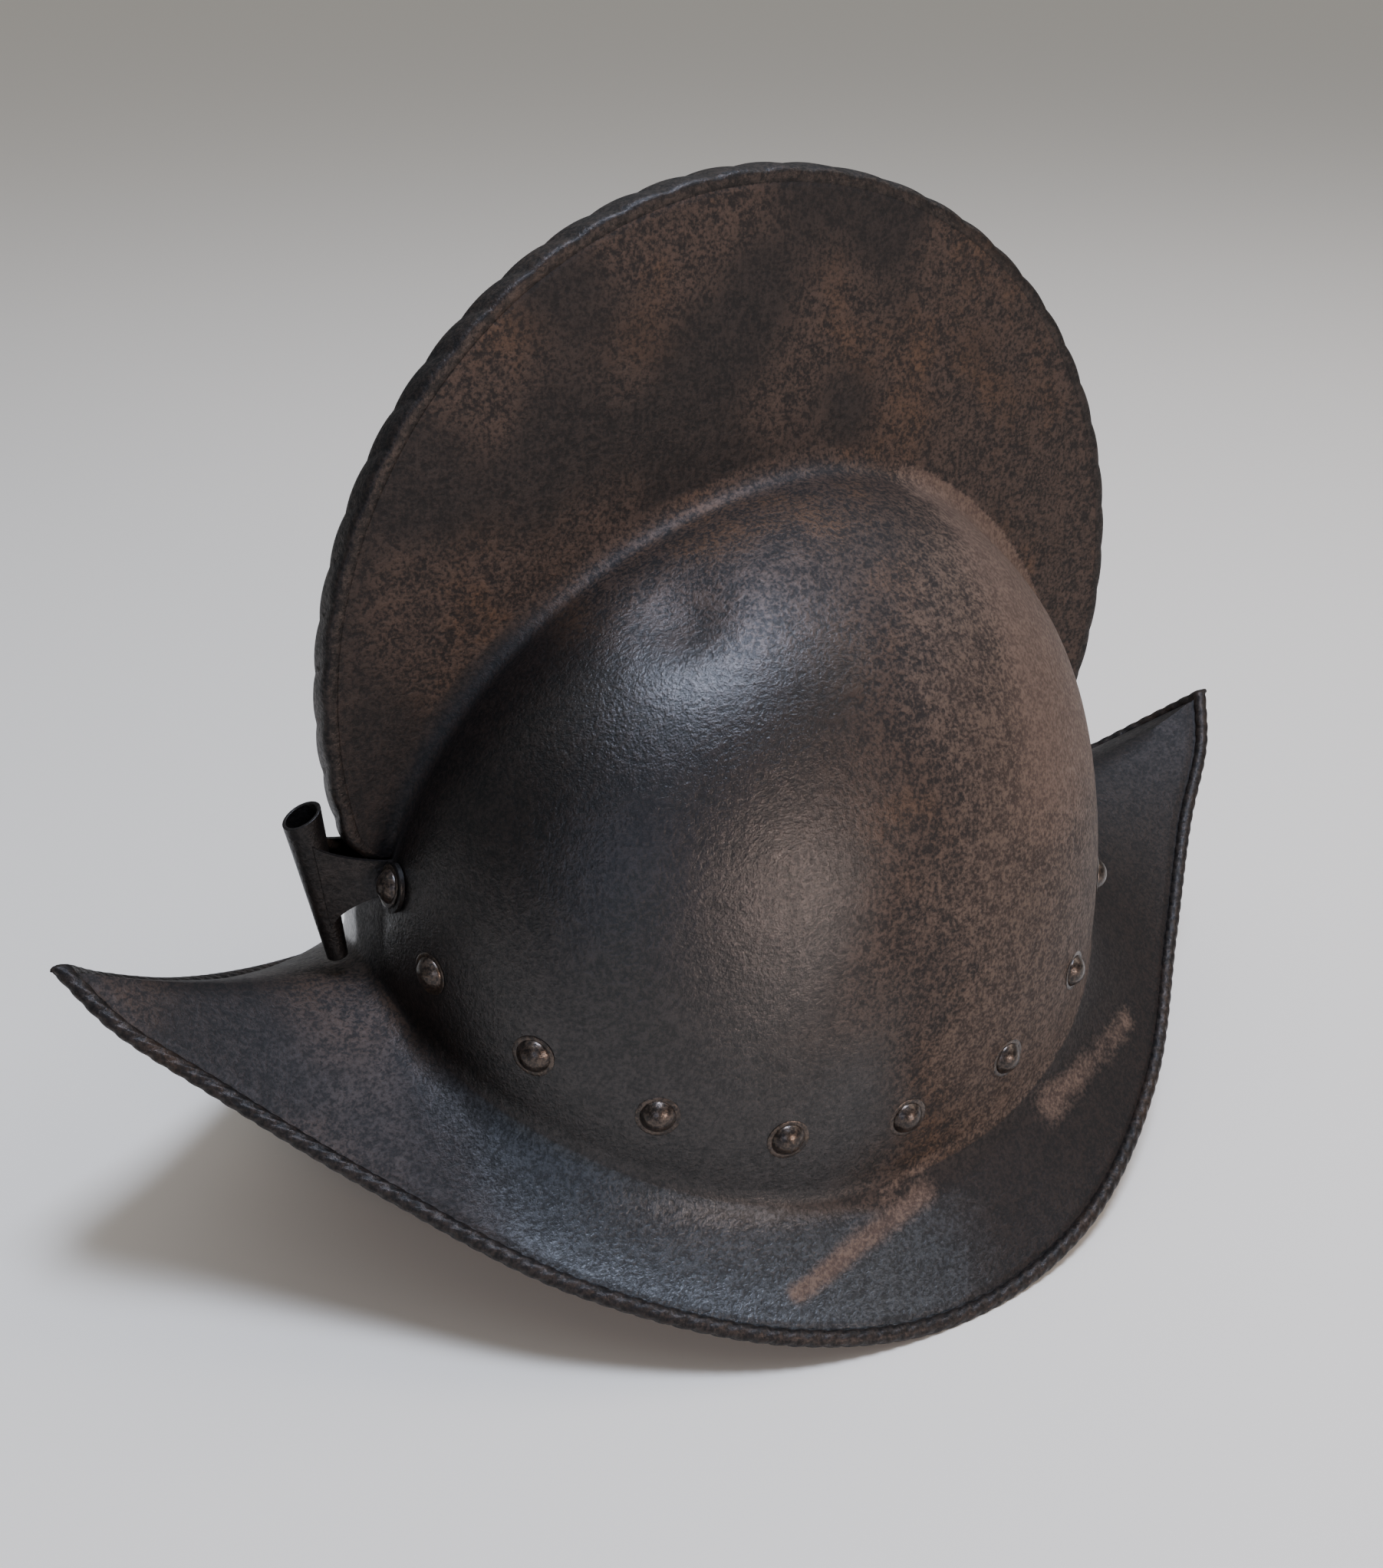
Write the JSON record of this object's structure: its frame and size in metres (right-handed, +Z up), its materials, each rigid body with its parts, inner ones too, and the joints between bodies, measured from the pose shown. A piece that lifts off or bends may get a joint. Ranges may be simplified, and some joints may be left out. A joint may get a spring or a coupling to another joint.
{
  "type": "comb morion helmet",
  "caption": "Open steel helmet with a boat-shaped brim peaked front and rear, a tall hollow comb with a roped edge, domed lining rivets round the skull and a plume tube behind.",
  "frame": {"origin": "on the surface that the helmet stands on, midway between the tips of the two peaks", "axes": "+X towards the wearer's front, +Y towards the wearer's left, +Z up out of the crown"},
  "size_m": [0.366, 0.2396, 0.263],
  "materials": {
    "russet_iron": "dark patinated plate, mottled, with russet stains",
    "rivet_iron": "dark iron, rubbed bright on the domes",
    "holder_iron": "dark patinated sheet"
  },
  "bodies": {
    "root": {"helmet_shell": "russet_iron", "plume_holder": "holder_iron", "plume_rivet_right": "rivet_iron", "plume_rivet_left": "rivet_iron", "lining_rivet_right_1": "rivet_iron", "lining_rivet_right_2": "rivet_iron", "lining_rivet_right_3": "rivet_iron", "lining_rivet_right_4": "rivet_iron", "lining_rivet_right_5": "rivet_iron", "lining_rivet_right_6": "rivet_iron", "lining_rivet_right_7": "rivet_iron", "lining_rivet_right_8": "rivet_iron", "lining_rivet_right_9": "rivet_iron", "lining_rivet_left_1": "rivet_iron", "lining_rivet_left_2": "rivet_iron", "lining_rivet_left_3": "rivet_iron", "lining_rivet_left_4": "rivet_iron", "lining_rivet_left_5": "rivet_iron", "lining_rivet_left_6": "rivet_iron", "lining_rivet_left_7": "rivet_iron", "lining_rivet_left_8": "rivet_iron", "lining_rivet_left_9": "rivet_iron"}
  },
  "joints": []
}
